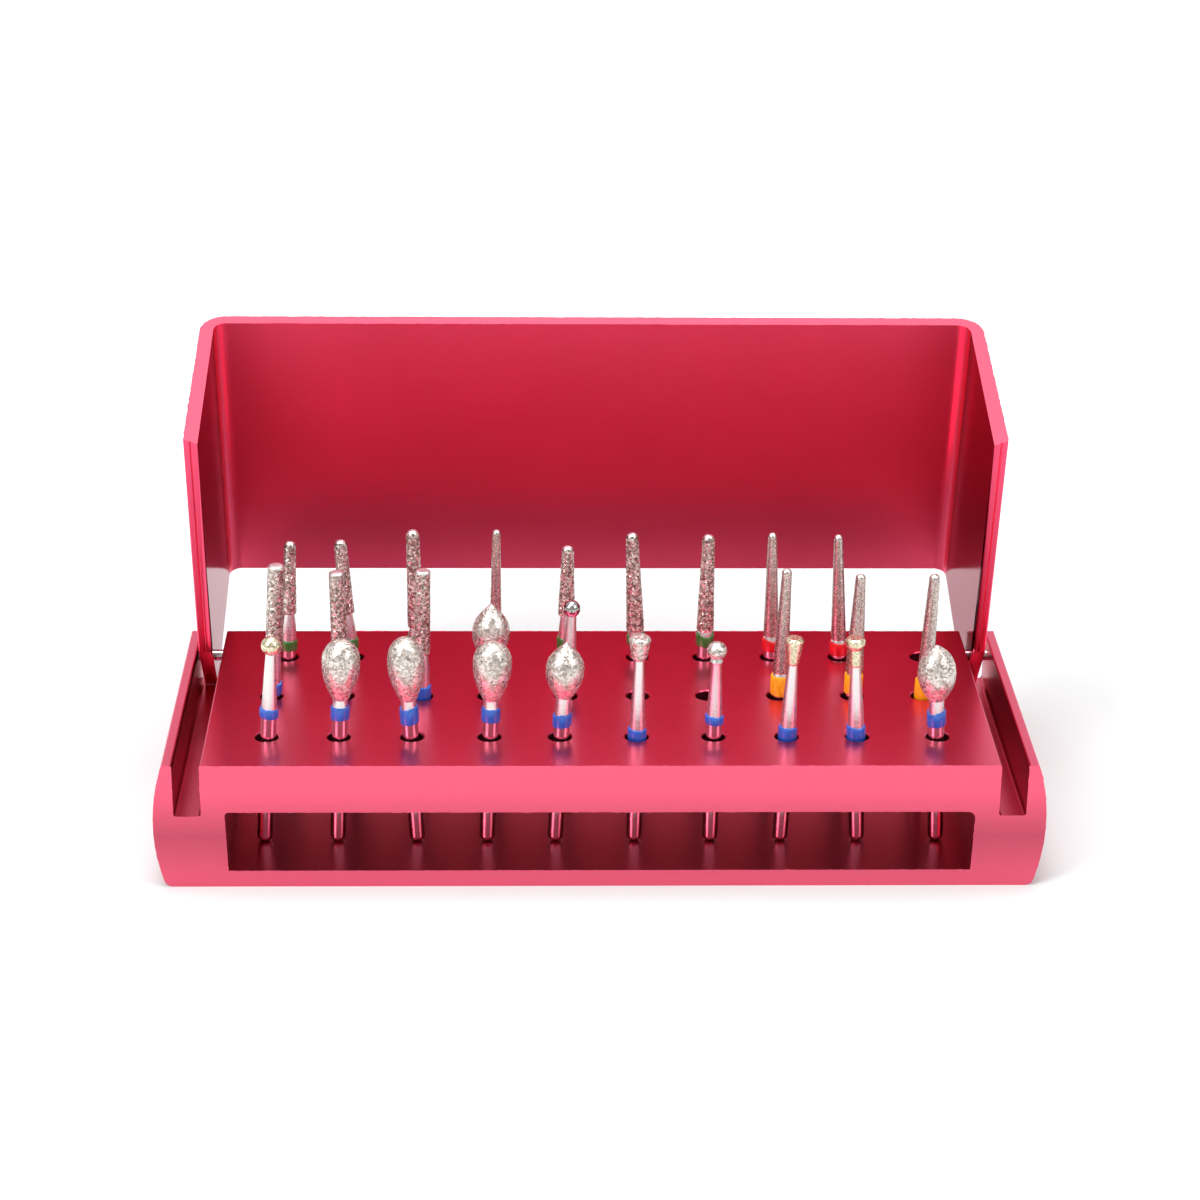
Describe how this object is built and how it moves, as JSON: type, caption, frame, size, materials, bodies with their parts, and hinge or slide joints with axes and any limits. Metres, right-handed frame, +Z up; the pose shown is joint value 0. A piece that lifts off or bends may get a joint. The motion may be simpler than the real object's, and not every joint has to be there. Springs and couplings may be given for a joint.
{
  "type": "dental bur block",
  "caption": "Red anodised bur block: holes over a see-through window hold leaning diamond burs, and a hinged U-shaped lid stands open behind them.",
  "frame": {"origin": "centre of the base block's underside", "axes": "+X to the right along the rows of holes, +Y from the front towards the hinge, +Z up"},
  "size_m": [0.09, 0.0511, 0.0461],
  "materials": {
    "red_anodised": "satin anodised",
    "pin_steel": "polished",
    "bur_steel_and_grit": "polished shank with a sparkling diamond-plated head"
  },
  "bodies": {
    "base": {"base_block": "red_anodised", "hinge_pin_left": "pin_steel", "hinge_pin_right": "pin_steel", "bur_front_01": "bur_steel_and_grit", "bur_front_02": "bur_steel_and_grit", "bur_front_03": "bur_steel_and_grit", "bur_front_04": "bur_steel_and_grit", "bur_front_05": "bur_steel_and_grit", "bur_front_06": "bur_steel_and_grit", "bur_front_07": "bur_steel_and_grit", "bur_front_08": "bur_steel_and_grit", "bur_front_09": "bur_steel_and_grit", "bur_front_10": "bur_steel_and_grit", "bur_middle_01": "bur_steel_and_grit", "bur_middle_02": "bur_steel_and_grit", "bur_middle_03": "bur_steel_and_grit", "bur_middle_04": "bur_steel_and_grit", "bur_middle_05": "bur_steel_and_grit", "bur_middle_08": "bur_steel_and_grit", "bur_middle_09": "bur_steel_and_grit", "bur_middle_10": "bur_steel_and_grit", "bur_back_01": "bur_steel_and_grit", "bur_back_02": "bur_steel_and_grit", "bur_back_03": "bur_steel_and_grit", "bur_back_04": "bur_steel_and_grit", "bur_back_05": "bur_steel_and_grit", "bur_back_06": "bur_steel_and_grit", "bur_back_07": "bur_steel_and_grit", "bur_back_08": "bur_steel_and_grit", "bur_back_09": "bur_steel_and_grit"},
    "lid": {"lid": "red_anodised"}
  },
  "joints": [
    {"name": "lid_hinge", "type": "hinge", "parent": "base", "child": "lid", "pos_m": [0, 0.0137, 0.012], "axis": [1, 0, 0], "range_deg": [0, 77]}
  ]
}
